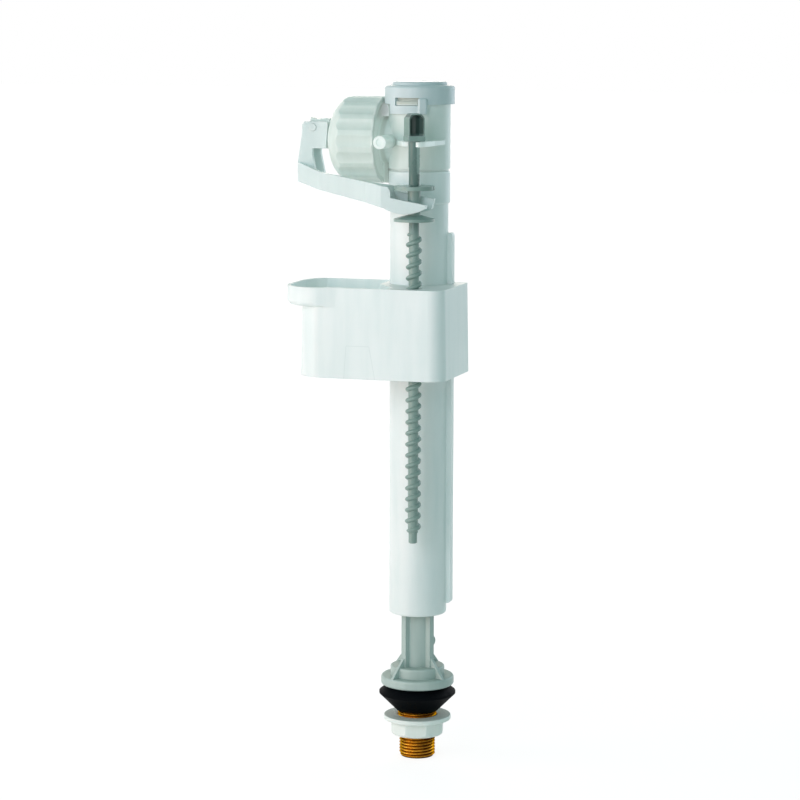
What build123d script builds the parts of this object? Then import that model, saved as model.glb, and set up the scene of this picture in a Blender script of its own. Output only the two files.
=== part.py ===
from build123d import *
from math import cos, radians, sin
import os

# Bottom inlet fill valve, in millimetres.
# The tube axis is Z. Z = 0 is the lower end of the threaded tail.
# The diaphragm housing points to -X. The adjusting screw stands in front, towards -Y.

# Clearances
slide_gap = 0.3        # parts that slide or swing past each other
turn_gap = 0.1         # pins and necks that turn in a bore
seat_gap = 0.1         # loose fits between parts of one assembly

# Threaded tail and its fixings
tail_radius = 10.4775
tail_free_length = 13.3
shank_radius = 11.45
tail_bore_radius = 7.0
tail_socket_depth = 8.0
nut_height = 8.7
nut_across_flats = 29.8
nut_sides = 8
nut_turn = -9.0                    # from a flat facing -Y, degrees
nut_chamfer = 1.2
washer_radius = 19.6
washer_height = 2.8
shank_gap = 2.8
cone_height = 15.3
cone_foot_radius = 12.25
cone_rim_radius = 22.3
cone_rim_drop = 4.5
cone_lip_radius = 19.8
cone_lip_drop = 2.1
cone_seat_radius = 17.5
filter_wall = 1.2
filter_length = 26.0
filter_setback = 3.0
filter_slots = 8
filter_slot_width = 1.6

nut_z = tail_free_length
washer_z = nut_z + nut_height
cone_z = washer_z + washer_height + shank_gap
seat_z = cone_z + cone_height      # underside of the stem flange

# Ribbed inlet stem
flange_radius = 21.25
flange_height = 5.7
flange_round = 1.6
tier_radius = 15.75
tier_height = 5.8
tier_round = 1.2
core_radius = 8.4
core_bore_radius = 6.2
rib_count = 4
rib_reach = 11.6
rib_thickness = 3.4
rib_turn = 28.0                    # from -Y towards -X, degrees
gusset_reach = 21.0
gusset_height = 17.0
gusset_thickness = 1.7
pip_height = 24.0
pip_radius = 3.2
pip_proud = 1.6
stem_height = 137.0
guide_height = 9.0

# Outer tube with its rail and socket
tube_radius = 16.7
tube_wall = 1.9
tube_foot_height = 42.8
tube_length = 257.2
tube_foot_round = 1.5
collar_radius = 17.65
collar_height = 18.8
collar_round = 1.2
rail_proud = 3.0
rail_width = 5.0
rail_offset = 2.5
rail_foot_height = 49.0
rail_top_height = 264.6
bush_height = 12.0

tube_z = seat_z + tube_foot_height
tube_top_z = tube_z + tube_length
tube_bore_radius = tube_radius - tube_wall

# Riser that carries the water up inside the tube
riser_radius = 4.8
riser_bore_radius = 3.2
riser_foot_height = 57.0
seal_section = 1.4
seal_groove = 0.9
seal_spacing = 5.0

# Head barrel and side branch
head_neck_height = 1.1
head_plug_depth = 17.0
barrel_radius = 17.65
barrel_wall = 2.25
barrel_height = 45.3
branch_height = 15.9               # branch axis above the foot of the barrel
branch_neck_radius = 13.4
branch_bore_radius = 11.4
branch_spigot_radius = 21.5
branch_end = 36.0
branch_face = 21.2                 # closed end of the spigot, from the tube axis
chamber_radius = 17.8
chamber_depth = 12.2
stop_lug_width = 6.0
stop_lug_back = 17.9               # face towards the tube, from the tube axis
stop_lug_radius = 24.4
spout_radius = 3.75
spout_dimple_radius = 2.0
spout_dimple_depth = 0.5
spout_offset = 13.3
spout_reach = 34.0
guide_plate_thickness = 2.7
guide_ring_radius = 7.0
guide_hook_angle = -45.0
guide_jaw_angle = 180.0

barrel_z = tube_top_z + head_neck_height
branch_z = barrel_z + branch_height
plate_z = barrel_z + barrel_height   # underside of the top cap's plate

# Elbow with the main valve seat
elbow_radius = 7.2
elbow_bore_radius = 3.5
elbow_socket_depth = 6.0
elbow_foot_drop = 12.0
nozzle_radius = 5.6
nozzle_tip = 21.5
spider_thickness = 2.4
spider_back = 17.4
spider_holes = 6
spider_hole_radius = 2.2

# Diaphragm
diaphragm_bead = 3.0
diaphragm_bead_width = 2.4
diaphragm_web = 1.0
diaphragm_pad_radius = 7.6

# Pilot cover, its nose and the pivot
cover_flange_thickness = 3.0
cover_wall = 2.4
cover_hub_radius = 10.9
cover_front = 51.6
nose_end = 65.0
nose_half_width = 6.0
nose_drop = 5.4
nose_rise = 10.4
pivot_distance = 61.3
pivot_rise = 6.8
pin_radius = 2.1
jet_drop = 1.5
jet_radius = 2.0
jet_bore_radius = 0.6
jet_proud = 0.3
jet_length = 5.0

# Fluted cap nut
cap_nut_rim = 20.5
cap_nut_radius = 24.8
cap_nut_rim_radius = 24.3
cap_nut_rim_bevel = 0.5
cap_nut_wall = 2.8
cap_nut_shoulder = 41.2
cap_nut_front = 50.8
cap_nut_crown_x = 48.1
cap_nut_crown_radius = 18.7
flute_count = 16
flute_radius = 9.0
flute_depth = 0.9

# Top cap
cap_radius = 20.0
cap_skirt_drop = 8.6
cap_plate = 2.0
cap_round = 1.9
cap_disc_radius = 15.65
cap_disc_height = 2.1
cap_plug_depth = 4.0
cap_plug_wall = 2.0
tongue_drop = 5.3
tongue_start = -41.0
tongue_end = 28.0
window_start = -27.5
window_end = 16.5
window_height = 4.4
window_sill = 0.6                  # the window reaches below the rim of the skirt
tab_angle = 21.2
tab_width = 5.2
tab_proud = 1.5
tab_height = 8.9
latch_height = 2.1
latch_setback = 0.6
latch_margin = 1.5
latch_short = 3.5
cap_seal_section = 1.6

# Adjusting screw and lift collar
screw_x = 6.8
screw_y = -33.0
rod_radius = 3.25
neck_radius = 2.3
core_rod_radius = 2.9
thread_radius = 4.6
thread_length = 171.0
core_rod_length = 6.3              # plain core between the thread and the collar
pin_end_radius = 2.45
pin_end_length = 6.1
collar_drop = 43.7                 # foot of the collar below the branch axis
collar_length = 19.8
disc_radius = 11.5
disc_thickness = 2.2
cone_disc_rim = 1.5
cone_disc_rise = 3.6
hub_radius = 3.6
disc_notch = 1.5                   # width and depth of the notch in the upper disc
head_plate_thickness = 3.2
head_plate_width = 10.2
head_plate_depth = 8.6
cage_width = 9.4
cage_depth = 8.0
cage_wall = 1.3
cage_height = 12.3
cage_chamfer = 2.6
head_turn = 37.0
head_rise = 1.0                    # underside of the screw head above the branch axis

screw_head_z = branch_z + head_rise
collar_z = branch_z - collar_drop
thread_top_z = collar_z - core_rod_length
thread_foot_z = thread_top_z - thread_length

# Lever arm
cheek_thickness = 2.7
cheek_front_top = 52.4
cheek_front_foot = 53.4
cheek_heel_top = 66.8
cheek_heel_foot = 70.4
cheek_throat = 61.6
cheek_toe = 59.5
arm_heel_low = 24.3                # below the branch axis
arm_heel_high = 13.1
arm_bend_x = 52.0
arm_bend_y = 24.0
arm_bend_low = 28.0
arm_bend_high = 17.9
arm_root_x = 5.0
arm_root_low = 37.0
arm_root_high = 24.6
arm_thickness = 3.2
arm_flare_x = 22.0                 # where the limb starts to widen towards the fork
fork_root_x = 9.0
fork_root_low = 36.3
fork_belly_x = 4.0
fork_low = 39.4
fork_prong = 3.3
fork_front_tip_x = 15.8
fork_front_high = 34.1
fork_front_low = 35.9
fork_front_root = 29.8
fork_back_tip_x = 17.3
fork_back_high = 31.2
fork_back_low = 36.9
fork_back_root = 26.6
fork_back_slant = 1.6              # foot of the back tip, behind its top
fork_web_inset = 0.5               # web between the prongs, inside their roots
fork_clear_top = 15.0              # kept free round the screw by the end of the limb
fork_clear_foot = 12.0
end_plate_thickness = 1.7
pad_radius = 2.6
pad_thickness = 1.5
close_lift = 7.0                   # travel of the fork from open to closed

# Float cup
float_left = 61.5
float_right = 27.0
float_front = 44.5
float_back = 13.5
float_foot_height = 184.1
float_height = 51.3
float_draft = 1.0
float_wall = 1.8
corner_front_left = 18.0
corner_back_left = 19.0
corner_front_right = 9.0
corner_back_right = 4.0
tray_depth = 13.0
deck_back_x = 19.4                 # edge of the deck beside the tube
deck_front_x = 6.5                 # edge of the deck beside the screw
deck_turn_y = 12.8
lip_reach = 8.0
lip_side = 2.6
lip_height = 11.0
lip_round = 3.0
lip_fade_start = 49.0
lip_fade_end = 33.0
sleeve_wall = 1.8
boss_wall = 2.2


def rod(radius, z0, z1, x=0.0, y=0.0):
    """Upright cylinder between two heights."""
    return Pos(x, y, (z0 + z1) / 2) * Cylinder(radius, z1 - z0)


def drum(radius, x0, x1, z, y=0.0):
    """Cylinder lying along X between two places on it."""
    return Pos((x0 + x1) / 2, y, z) * Rot(0, 90, 0) * Cylinder(radius, x1 - x0)


def bar_y(radius, x, y0, y1, z):
    """Cylinder lying along Y between two places on it."""
    return Pos(x, (y0 + y1) / 2, z) * Rot(90, 0, 0) * Cylinder(radius, y1 - y0)


def block(x0, x1, y0, y1, z0, z1):
    """Box between two corners."""
    centre = Pos((x0 + x1) / 2, (y0 + y1) / 2, (z0 + z1) / 2)
    return centre * Box(x1 - x0, y1 - y0, z1 - z0)


def turned(points):
    """Solid of revolution about Z from (radius, height) points."""
    outline = Polyline(*[(r, 0, z) for r, z in points], close=True)
    return revolve(make_face(outline), Axis.Z)


def turned_x(points, z):
    """Solid of revolution about the line along X at height z, from (distance to -X, radius)."""
    outline = Polyline(*[(-d, 0, z + r) for d, r in points], close=True)
    return revolve(make_face(outline), Axis((0, 0, z), (1, 0, 0)))


def plan(points, z0, z1):
    """Upright prism on a plan outline."""
    outline = Polyline(*[(x, y, z0) for x, y in points], close=True)
    return extrude(make_face(outline), z1 - z0, dir=(0, 0, 1))


def side(points, y0, y1):
    """Prism along Y on a side outline of (x, z) points."""
    outline = Polyline(*[(x, y0, z) for x, z in points], close=True)
    return extrude(make_face(outline), y1 - y0, dir=(0, 1, 0))


def wedge(inner, outer, start, end, z0, z1, x=0.0, y=0.0):
    """Sector of a ring. Angles are in degrees from the -Y direction towards +X."""
    steps = [start + (end - start) * i / 4 for i in range(5)]
    reach = outer * 1.5
    fan = [(x, y)] + [(x + reach * sin(radians(a)), y - reach * cos(radians(a))) for a in steps]
    ring = rod(outer, z0, z1, x, y) - rod(inner, z0, z1, x, y)
    return ring & plan(fan, z0, z1)


def inlet_stem():
    """Flanged, ribbed stem that the outer tube slides on."""
    tier_z = seat_z + flange_height
    top_z = seat_z + stem_height
    flange = rod(flange_radius, seat_z, tier_z)
    flange = fillet(flange.edges().filter_by(GeomType.CIRCLE), flange_round)
    tier = rod(tier_radius, tier_z - flange_round, tier_z + tier_height)
    tier = fillet(tier.edges().filter_by(GeomType.CIRCLE).sort_by(Axis.Z)[-1], tier_round)
    guide_radius = tube_bore_radius - slide_gap
    body = flange + tier + rod(core_radius, seat_z, top_z)
    body += rod(guide_radius, top_z - guide_height, top_z)
    for i in range(rib_count):
        turn = Rot(0, 0, -rib_turn - i * 360 / rib_count)
        half = rib_thickness / 2
        rib = block(-half, half, -rib_reach, 0, seat_z + flange_round, top_z - guide_height)
        gusset_top = seat_z + gusset_height
        gusset_foot = seat_z + flange_height / 2
        slope = [(-rib_reach + 1, gusset_top), (-rib_reach, gusset_top), (-gusset_reach, tier_z),
                 (-gusset_reach + 1, gusset_foot), (-rib_reach + 1, gusset_foot)]
        outline = Polyline(*[(-gusset_thickness / 2, y, z) for y, z in slope], close=True)
        gusset = extrude(make_face(outline), gusset_thickness, dir=(1, 0, 0))
        body += turn * (rib + gusset)
    pip_centre = rib_reach + pip_proud - pip_radius
    pip = block(-rib_thickness / 2, rib_thickness / 2, -pip_centre - pip_radius, -core_radius,
                seat_z + pip_height - pip_radius, seat_z + pip_height + pip_radius)
    pip_disc = Pos(0, -pip_centre, seat_z + pip_height) * Rot(0, 90, 0) * Cylinder(pip_radius, rib_thickness)
    body += Rot(0, 0, -rib_turn - 180) * (pip & pip_disc)
    body -= rod(core_bore_radius, seat_z, top_z)
    body -= rod(shank_radius + seat_gap, seat_z, seat_z + tail_socket_depth)
    return body


def threaded_tail():
    """Brass inlet tail. Its threads are shown as plain cylinders."""
    top_z = seat_z + tail_socket_depth
    return rod(tail_radius, 0, nut_z) + rod(shank_radius, nut_z, top_z) - rod(tail_bore_radius, 0, top_z)


def cone_washer():
    """Rubber cone that seals the hole in the cistern."""
    bore = shank_radius + seat_gap
    return turned([
        (bore, cone_z),
        (cone_foot_radius, cone_z),
        (cone_rim_radius, seat_z - cone_rim_drop - 0.8),
        (cone_rim_radius, seat_z - cone_rim_drop + 0.4),
        (cone_lip_radius, seat_z - cone_lip_drop),
        (cone_seat_radius, seat_z),
        (bore, seat_z),
    ])


def inlet_filter():
    """Slotted thimble filter pushed into the tail."""
    outer = tail_bore_radius - seat_gap
    top = filter_setback + filter_length
    thimble = rod(outer, filter_setback, top)
    thimble -= rod(outer - filter_wall, filter_setback, top - filter_wall)
    for i in range(filter_slots // 2):
        half = filter_slot_width / 2
        slot = block(-outer * 2, outer * 2, -half, half, filter_setback + 4, top - 4)
        thimble -= Rot(0, 0, i * 360 / filter_slots) * slot
    return thimble


def seating_washer():
    """Flat washer that the back nut presses up against the cistern."""
    ring = rod(washer_radius, washer_z, washer_z + washer_height)
    ring = fillet(ring.edges().filter_by(GeomType.CIRCLE), washer_height / 4)
    return ring - rod(shank_radius + slide_gap, washer_z, washer_z + washer_height)


def back_nut():
    """Eight-sided plastic back nut."""
    corner = nut_across_flats / 2 / cos(radians(180 / nut_sides))
    face = Pos(0, 0, nut_z) * Rot(0, 0, nut_turn) * RegularPolygon(corner, nut_sides)
    nut = extrude(face, nut_height)
    low = nut_across_flats / 2 - nut_chamfer / 3
    nut &= turned([
        (0, nut_z),
        (low, nut_z),
        (low + nut_chamfer, nut_z + nut_chamfer),
        (corner, nut_z + nut_chamfer * 2),
        (corner, nut_z + nut_height),
        (0, nut_z + nut_height),
    ])
    return nut - rod(shank_radius + turn_gap, nut_z, nut_z + nut_height)


def rail_block(margin, z0, z1):
    """The rail's section beside the tube, grown by a margin."""
    reach = tube_radius + rail_proud + margin
    half = rail_width / 2 + margin
    return block(tube_radius * 0.92, reach, rail_offset - half, rail_offset + half, z0, z1)


def outer_tube():
    """Outer tube with its guide rail and the socket for the head."""
    body = rod(tube_radius, tube_z, tube_top_z)
    body = fillet(body.edges().filter_by(GeomType.CIRCLE).sort_by(Axis.Z)[0], tube_foot_round)
    collar = rod(collar_radius, tube_top_z - collar_height, tube_top_z)
    collar = fillet(collar.edges().filter_by(GeomType.CIRCLE), collar_round)
    rail = rail_block(0, seat_z + rail_foot_height, seat_z + rail_top_height)
    rail = fillet(rail.edges().filter_by(Axis.Y).sort_by(Axis.X)[-2:], rail_proud * 0.6)
    return body + collar + rail - rod(tube_bore_radius, tube_z, tube_top_z)


def guide_bush():
    """Split bush at the foot of the tube that grips the ribs of the stem."""
    foot = tube_z + tube_foot_round
    ring = rod(tube_bore_radius - seat_gap, foot, foot + bush_height)
    ring -= rod(rib_reach + slide_gap, foot, foot + bush_height)
    return ring - block(-1, 1, 0, tube_radius, foot, foot + bush_height)


def seal_heights():
    """Heights of the two riser seals."""
    first = seat_z + riser_foot_height + seal_section * 1.5
    return [first, first + seal_spacing]


def riser_tube():
    """Inner riser with two grooves near its foot."""
    foot = seat_z + riser_foot_height
    top = branch_z - elbow_foot_drop + elbow_socket_depth
    piston = core_bore_radius - slide_gap
    body = rod(riser_radius, foot, top)
    body += rod(piston, foot, foot + seal_spacing + seal_section * 3)
    for z in seal_heights():
        groove = rod(piston, z - seal_section / 2, z + seal_section / 2)
        body -= groove - rod(piston - seal_groove, z - seal_section / 2, z + seal_section / 2)
    return body - rod(riser_bore_radius, foot, top)


def riser_seals():
    """Two square-section rings in the grooves of the riser."""
    rings = []
    for z in seal_heights():
        low = z - seal_section / 2 + seat_gap
        high = z + seal_section / 2 - seat_gap
        outer = core_bore_radius - turn_gap
        inner = core_bore_radius - slide_gap - seal_groove
        rings.append(rod(outer, low, high) - rod(inner, low, high))
    return Compound(children=rings)


def guide_plate():
    """Plate with a hooked ring that guides the rod of the adjusting screw."""
    top = screw_head_z - slide_gap
    low = top - guide_plate_thickness
    hole = rod_radius + slide_gap
    ring = rod(guide_ring_radius, low, top, screw_x, screw_y)
    web = plan([
        (screw_x - guide_ring_radius, screw_y),
        (-barrel_radius * 0.52, -barrel_radius * 0.9),
        (-barrel_radius * 0.5, -barrel_radius * 0.55),
        (barrel_radius * 0.96, -barrel_radius * 0.22),
        (screw_x + guide_ring_radius, screw_y),
    ], low, top)
    mouth_start = guide_jaw_angle
    mouth_end = 360 + guide_hook_angle
    reach = guide_ring_radius * 2
    angles = [mouth_start + (mouth_end - mouth_start) * i / 4 for i in range(5)]
    mouth = [(screw_x, screw_y)]
    mouth += [(screw_x + reach * cos(radians(a)), screw_y + reach * sin(radians(a))) for a in angles]
    plate = ring + web - plan(mouth, low, top) - rod(hole, low, top, screw_x, screw_y)
    tip_arm = (guide_ring_radius + hole) / 2
    tip_x = screw_x + tip_arm * cos(radians(guide_hook_angle))
    tip_y = screw_y + tip_arm * sin(radians(guide_hook_angle))
    return plate + rod((guide_ring_radius - hole) / 2, low, top, tip_x, tip_y)


def stop_lug():
    """Lug under the branch that stands just behind the rim of the cap nut."""
    half = stop_lug_width / 2
    foot_z = branch_z - stop_lug_radius
    root_z = branch_z - branch_spigot_radius + slide_gap
    root = block(-branch_face, -stop_lug_back, -half, half, root_z, branch_z)
    return root + block(-cap_nut_rim + slide_gap, -stop_lug_back, -half, half, foot_z, root_z)


def head_body():
    """Translucent head: barrel, side branch, spout and screw guide."""
    bore = barrel_radius - barrel_wall
    plug_radius = tube_bore_radius - seat_gap
    plug_z = tube_top_z - head_plug_depth
    skirt_z = plate_z - cap_skirt_drop
    body = drum(branch_spigot_radius, -branch_end, -branch_face, branch_z)
    body += stop_lug()
    body += drum(branch_neck_radius, -branch_face, 0, branch_z)
    body += rod(barrel_radius, barrel_z, plate_z)
    body += rod(tube_radius, tube_top_z, barrel_z)
    body += rod(plug_radius, plug_z, barrel_z)
    body += bar_y(spout_radius, -spout_offset, -spout_reach, -barrel_radius * 0.6, branch_z)
    body += guide_plate()
    latch_z = skirt_z - window_sill + slide_gap
    body += wedge(bore + 1, cap_radius - latch_setback, window_start + latch_margin, window_end - latch_short,
                  latch_z, latch_z + latch_height)
    body -= rod(bore, barrel_z + barrel_wall, plate_z)
    body -= rod(plug_radius - tube_wall, plug_z, plate_z)
    body -= drum(branch_bore_radius, -branch_end, 0, branch_z)
    body -= drum(chamber_radius, -branch_end, -branch_end + chamber_depth, branch_z)
    dimple_end = -spout_reach + spout_dimple_depth
    body -= bar_y(spout_dimple_radius, -spout_offset, -spout_reach, dimple_end, branch_z)
    return body


def inlet_elbow():
    """Elbow that turns the riser water towards the main seat."""
    foot = branch_z - elbow_foot_drop
    body = rod(elbow_radius, foot, branch_z + elbow_radius)
    body += drum(nozzle_radius, -nozzle_tip, 0, branch_z)
    body += drum(branch_bore_radius - seat_gap, -spider_back - spider_thickness, -spider_back, branch_z)
    ring_radius = (branch_bore_radius + nozzle_radius) / 2
    for i in range(spider_holes):
        angle = radians(i * 360 / spider_holes + 30)
        body -= drum(spider_hole_radius, -spider_back - spider_thickness, -spider_back,
                     branch_z + ring_radius * sin(angle), ring_radius * cos(angle))
    body -= rod(elbow_bore_radius, foot, branch_z)
    body -= rod(riser_radius + seat_gap / 2, foot, foot + elbow_socket_depth)
    body -= drum(elbow_bore_radius, -nozzle_tip, 0, branch_z)
    return body


def diaphragm():
    """Rubber diaphragm that closes the main seat."""
    ledge = branch_end - chamber_depth
    outer = chamber_radius - seat_gap
    inner = outer - diaphragm_bead_width
    web_front = ledge + diaphragm_bead - diaphragm_web
    pad_back = nozzle_tip + slide_gap
    return turned_x([
        (pad_back, 0),
        (pad_back, diaphragm_pad_radius),
        (web_front, diaphragm_pad_radius + 1),
        (web_front, inner),
        (ledge, inner),
        (ledge, outer),
        (ledge + diaphragm_bead, outer),
        (ledge + diaphragm_bead, 0),
    ], branch_z)


def cover_dome(gap):
    """Points of the dome under the cap nut, moved inwards by a gap."""
    ledge = branch_end + cover_flange_thickness
    return [
        (ledge, cap_nut_radius - cap_nut_wall - cover_wall - gap),
        (cap_nut_shoulder + 1.5, cap_nut_radius - cap_nut_wall - cover_wall - 1.4 - gap),
        (cap_nut_crown_x - 2.4, cap_nut_crown_radius - 3.2 - gap),
        (cap_nut_front - 2.6, cover_hub_radius + slide_gap - gap),
    ]


def pilot_cover():
    """Cover clamped by the cap nut, with the nose that carries the pivot."""
    ledge = branch_end + cover_flange_thickness
    plug_outer = chamber_radius - seat_gap
    plug_inner = plug_outer - diaphragm_bead_width
    bead_front = branch_end - chamber_depth + diaphragm_bead
    dome = cover_dome(slide_gap)
    outside = [(branch_end, plug_outer), (branch_end, branch_spigot_radius - seat_gap)]
    outside += [(ledge, branch_spigot_radius - seat_gap)] + dome
    outside += [(cover_front, cover_hub_radius), (cover_front, 0)]
    inside = [(cover_front - cover_wall, 0), (cover_front - cover_wall, cover_hub_radius - cover_wall)]
    inside += [(branch_end, plug_inner), (bead_front, plug_inner), (bead_front, plug_outer)]
    body = turned_x(outside + inside, branch_z)
    low = branch_z - nose_drop
    high = branch_z + nose_rise
    nose = block(-nose_end, -cover_front, -nose_half_width, nose_half_width, low, high)
    nose = fillet(nose.edges().filter_by(Axis.Y).sort_by(Axis.X)[:2], 1.5)
    clip = side([
        (-nose_end + 0.5, high),
        (-nose_end + 0.8, high + 1.9),
        (-nose_end + 2.8, high + 1.6),
        (-pivot_distance + 2.0, high + 0.7),
        (-cover_front - 3.4, high + 1.6),
        (-cover_front - 1.4, high + 1.3),
        (-cover_front - 1.4, high),
    ], -nose_half_width * 0.6, nose_half_width * 0.6)
    body += nose + clip
    body -= bar_y(pin_radius, -pivot_distance, -nose_half_width, nose_half_width, branch_z + pivot_rise)
    jet_z = branch_z - jet_drop
    body -= drum(jet_bore_radius * 2, -nose_end, -cover_front + cover_wall, jet_z)
    body -= drum(jet_radius, -nose_end, -nose_end + jet_length, jet_z)
    return body


def pilot_jet():
    """Small jet pressed into the end of the nose."""
    jet_z = branch_z - jet_drop
    tip = -nose_end - jet_proud
    body = drum(jet_radius, tip, -nose_end + jet_length, jet_z)
    body = chamfer(body.edges().filter_by(GeomType.CIRCLE).sort_by(Axis.X)[0], 0.6)
    return body - drum(jet_bore_radius, tip, -nose_end + jet_length, jet_z)


def pivot_pin():
    """Pin that the lever arm swings on."""
    half = nose_half_width + slide_gap + cheek_thickness + 0.4
    return bar_y(pin_radius, -pivot_distance, -half, half, branch_z + pivot_rise)


def cap_nut():
    """Fluted nut that holds the pilot cover on the branch."""
    ledge = branch_end + cover_flange_thickness
    start = (-cap_nut_shoulder, 0, branch_z + cap_nut_radius)
    crown = (-cap_nut_crown_x, 0, branch_z + cap_nut_crown_radius)
    front = (-cap_nut_front, 0, branch_z + cover_hub_radius + slide_gap)
    dome = [(-d, 0, branch_z + r) for d, r in cover_dome(0)]
    arc = ThreePointArc(start, crown, front)
    thread = branch_spigot_radius + seat_gap
    rest = Polyline(
        front,
        (-cap_nut_front + 1.2, 0, branch_z + cover_hub_radius + slide_gap),
        *dome[::-1],
        (-ledge, 0, branch_z + thread),
        (-cap_nut_rim, 0, branch_z + thread),
        (-cap_nut_rim, 0, branch_z + cap_nut_rim_radius),
        (-cap_nut_rim - cap_nut_rim_bevel, 0, branch_z + cap_nut_radius),
        start,
    )
    body = revolve(make_face(arc + rest), Axis((0, 0, branch_z), (1, 0, 0)))
    away = cap_nut_radius + flute_radius - flute_depth
    for i in range(flute_count):
        angle = radians(i * 360 / flute_count)
        body -= drum(flute_radius, -cap_nut_front, -cap_nut_rim,
                     branch_z + away * sin(angle), away * cos(angle))
    return body


def top_cap():
    """Round cap with its latch tongue, window and finger tab."""
    skirt_z = plate_z - cap_skirt_drop
    inner = barrel_radius + seat_gap * 2
    top = plate_z + cap_plate
    body = rod(cap_radius, skirt_z, top)
    body = fillet(body.edges().filter_by(GeomType.CIRCLE).sort_by(Axis.Z)[-1], cap_round)
    disc = rod(cap_disc_radius, plate_z, top + cap_disc_height)
    disc = fillet(disc.edges().filter_by(GeomType.CIRCLE).sort_by(Axis.Z)[-1], cap_disc_height * 0.6)
    body += disc
    body -= rod(inner, skirt_z, plate_z)
    plug = barrel_radius - barrel_wall - seat_gap
    plug_z = plate_z - cap_plug_depth
    body += rod(plug, plug_z, plate_z) - rod(plug - cap_plug_wall, plug_z, plate_z)
    body += wedge(inner, cap_radius, tongue_start, tongue_end, skirt_z - tongue_drop, skirt_z)
    sill_z = skirt_z - window_sill
    body -= wedge(inner - seat_gap, cap_radius + 1, window_start, window_end, sill_z, sill_z + window_height)
    tab_z = skirt_z - tongue_drop
    tab_back = -(inner + cap_radius) / 2
    tab = block(-tab_width / 2, tab_width / 2, -cap_radius - tab_proud, tab_back, tab_z, tab_z + tab_height)
    tab = fillet(tab.edges().filter_by(Axis.Z).sort_by(Axis.Y)[:2], tab_proud * 0.8)
    tab = fillet(tab.edges().filter_by(Axis.Y).sort_by(Axis.Z)[-2:], tab_proud * 0.7)
    body += Rot(0, 0, tab_angle) * tab
    return body


def cap_seal():
    """Ring seal between the cap and the rim of the barrel."""
    outer = barrel_radius - barrel_wall - seat_gap
    z = plate_z - cap_plug_depth - seat_gap
    return rod(outer, z - cap_seal_section, z) - rod(outer - cap_seal_section, z - cap_seal_section, z)


def screw_head():
    """Finger hood on top of the adjusting screw."""
    plate_top = screw_head_z + head_plate_thickness
    top = plate_top + cage_height
    plate = block(-head_plate_width / 2, head_plate_width / 2, -head_plate_depth / 2, head_plate_depth / 2,
                  screw_head_z, plate_top)
    hood = block(-cage_width / 2, cage_width / 2, -cage_depth / 2, cage_depth / 2, plate_top, top)
    hood = chamfer(hood.edges().filter_by(Axis.Y).sort_by(Axis.Z)[-2:], cage_chamfer)
    pocket = block(-cage_width / 2 + cage_wall, cage_width / 2 - cage_wall,
                   -cage_depth, cage_depth / 2 - cage_wall, plate_top, top - cage_wall)
    pocket = chamfer(pocket.edges().filter_by(Axis.Y).sort_by(Axis.Z)[-2:], cage_chamfer * 0.9)
    return plate + hood - pocket


def adjusting_screw():
    """Screw that sets the water level. Its thread is shown at its full diameter."""
    neck_low = collar_z - seat_gap
    neck_high = collar_z + collar_length + seat_gap
    body = rod(rod_radius, neck_high, screw_head_z)
    body += rod(neck_radius, neck_low, neck_high)
    body += rod(core_rod_radius, thread_top_z, neck_low)
    body += rod(thread_radius, thread_foot_z, thread_top_z)
    body += rod(pin_end_radius, thread_foot_z - pin_end_length, thread_foot_z)
    return Pos(screw_x, screw_y, 0) * (body + Rot(0, 0, head_turn) * screw_head())


def lift_collar():
    """Spool that the fork of the lever arm sits in."""
    high = collar_z + collar_length
    bore = neck_radius + turn_gap
    spool = turned([
        (bore, collar_z),
        (disc_radius, collar_z),
        (disc_radius, collar_z + cone_disc_rim),
        (hub_radius, collar_z + cone_disc_rise),
        (hub_radius, high - disc_thickness),
        (disc_radius, high - disc_thickness),
        (disc_radius, high),
        (bore, high),
    ])
    half = disc_notch / 2
    notch = block(disc_radius - disc_notch, disc_radius + 1, -half, half, high - disc_thickness, high)
    return Pos(screw_x, screw_y, 0) * (spool - notch)


def fork_slot():
    """Half the width of the slot between the prongs."""
    return hub_radius + slide_gap + turn_gap


def arm_ribbon():
    """Plan outline of the arm from its heel round the bend to the fork root."""
    half = arm_thickness / 2
    outer_y = nose_half_width + slide_gap + cheek_thickness
    fork_half = fork_slot() + fork_prong
    flare_y = screw_y + half
    return [
        (-cheek_heel_foot, outer_y),
        (-cheek_heel_foot, -outer_y),
        (-arm_bend_x - half * 0.3, -arm_bend_y),
        (-arm_flare_x, flare_y - half),
        (-fork_root_x - half, screw_y - fork_half),
        (-arm_root_x, screw_y - fork_half),
        (-arm_root_x, screw_y + fork_half),
        (-fork_root_x - half, screw_y + fork_half),
        (-arm_flare_x, flare_y + half),
        (-arm_bend_x + half * 0.6, -arm_bend_y + arm_thickness),
        (-cheek_heel_foot + arm_thickness, -outer_y + arm_thickness * 0.5),
        (-cheek_heel_foot + arm_thickness, outer_y),
    ]


def arm_profile():
    """Side outline of the arm between its heel and the fork root."""
    return [
        (-cheek_heel_foot, branch_z - arm_heel_low),
        (-arm_bend_x, branch_z - arm_bend_low),
        (-arm_root_x, branch_z - arm_root_low),
        (-arm_root_x, branch_z - arm_root_high),
        (-arm_bend_x, branch_z - arm_bend_high),
        (-cheek_heel_foot, branch_z - arm_heel_high),
    ]


def fork_prong_shape(tip_foot, tip_top, high_root, y0):
    """One prong from its tip's (x, drop) points. Its belly rides on the cone disc of the collar."""
    tip_low = (tip_foot[0], 0, branch_z - tip_foot[1])
    belly = (fork_belly_x, 0, branch_z - fork_low)
    root_low = (-fork_root_x, 0, branch_z - fork_root_low)
    lower = ThreePointArc(root_low, belly, tip_low)
    upper = Polyline(
        tip_low,
        (tip_top[0], 0, branch_z - tip_top[1]),
        (-fork_root_x, 0, branch_z - high_root),
        root_low,
    )
    face = Pos(0, y0, 0) * make_face(lower + upper)
    return extrude(face, fork_prong, dir=(0, 1, 0))


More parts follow.
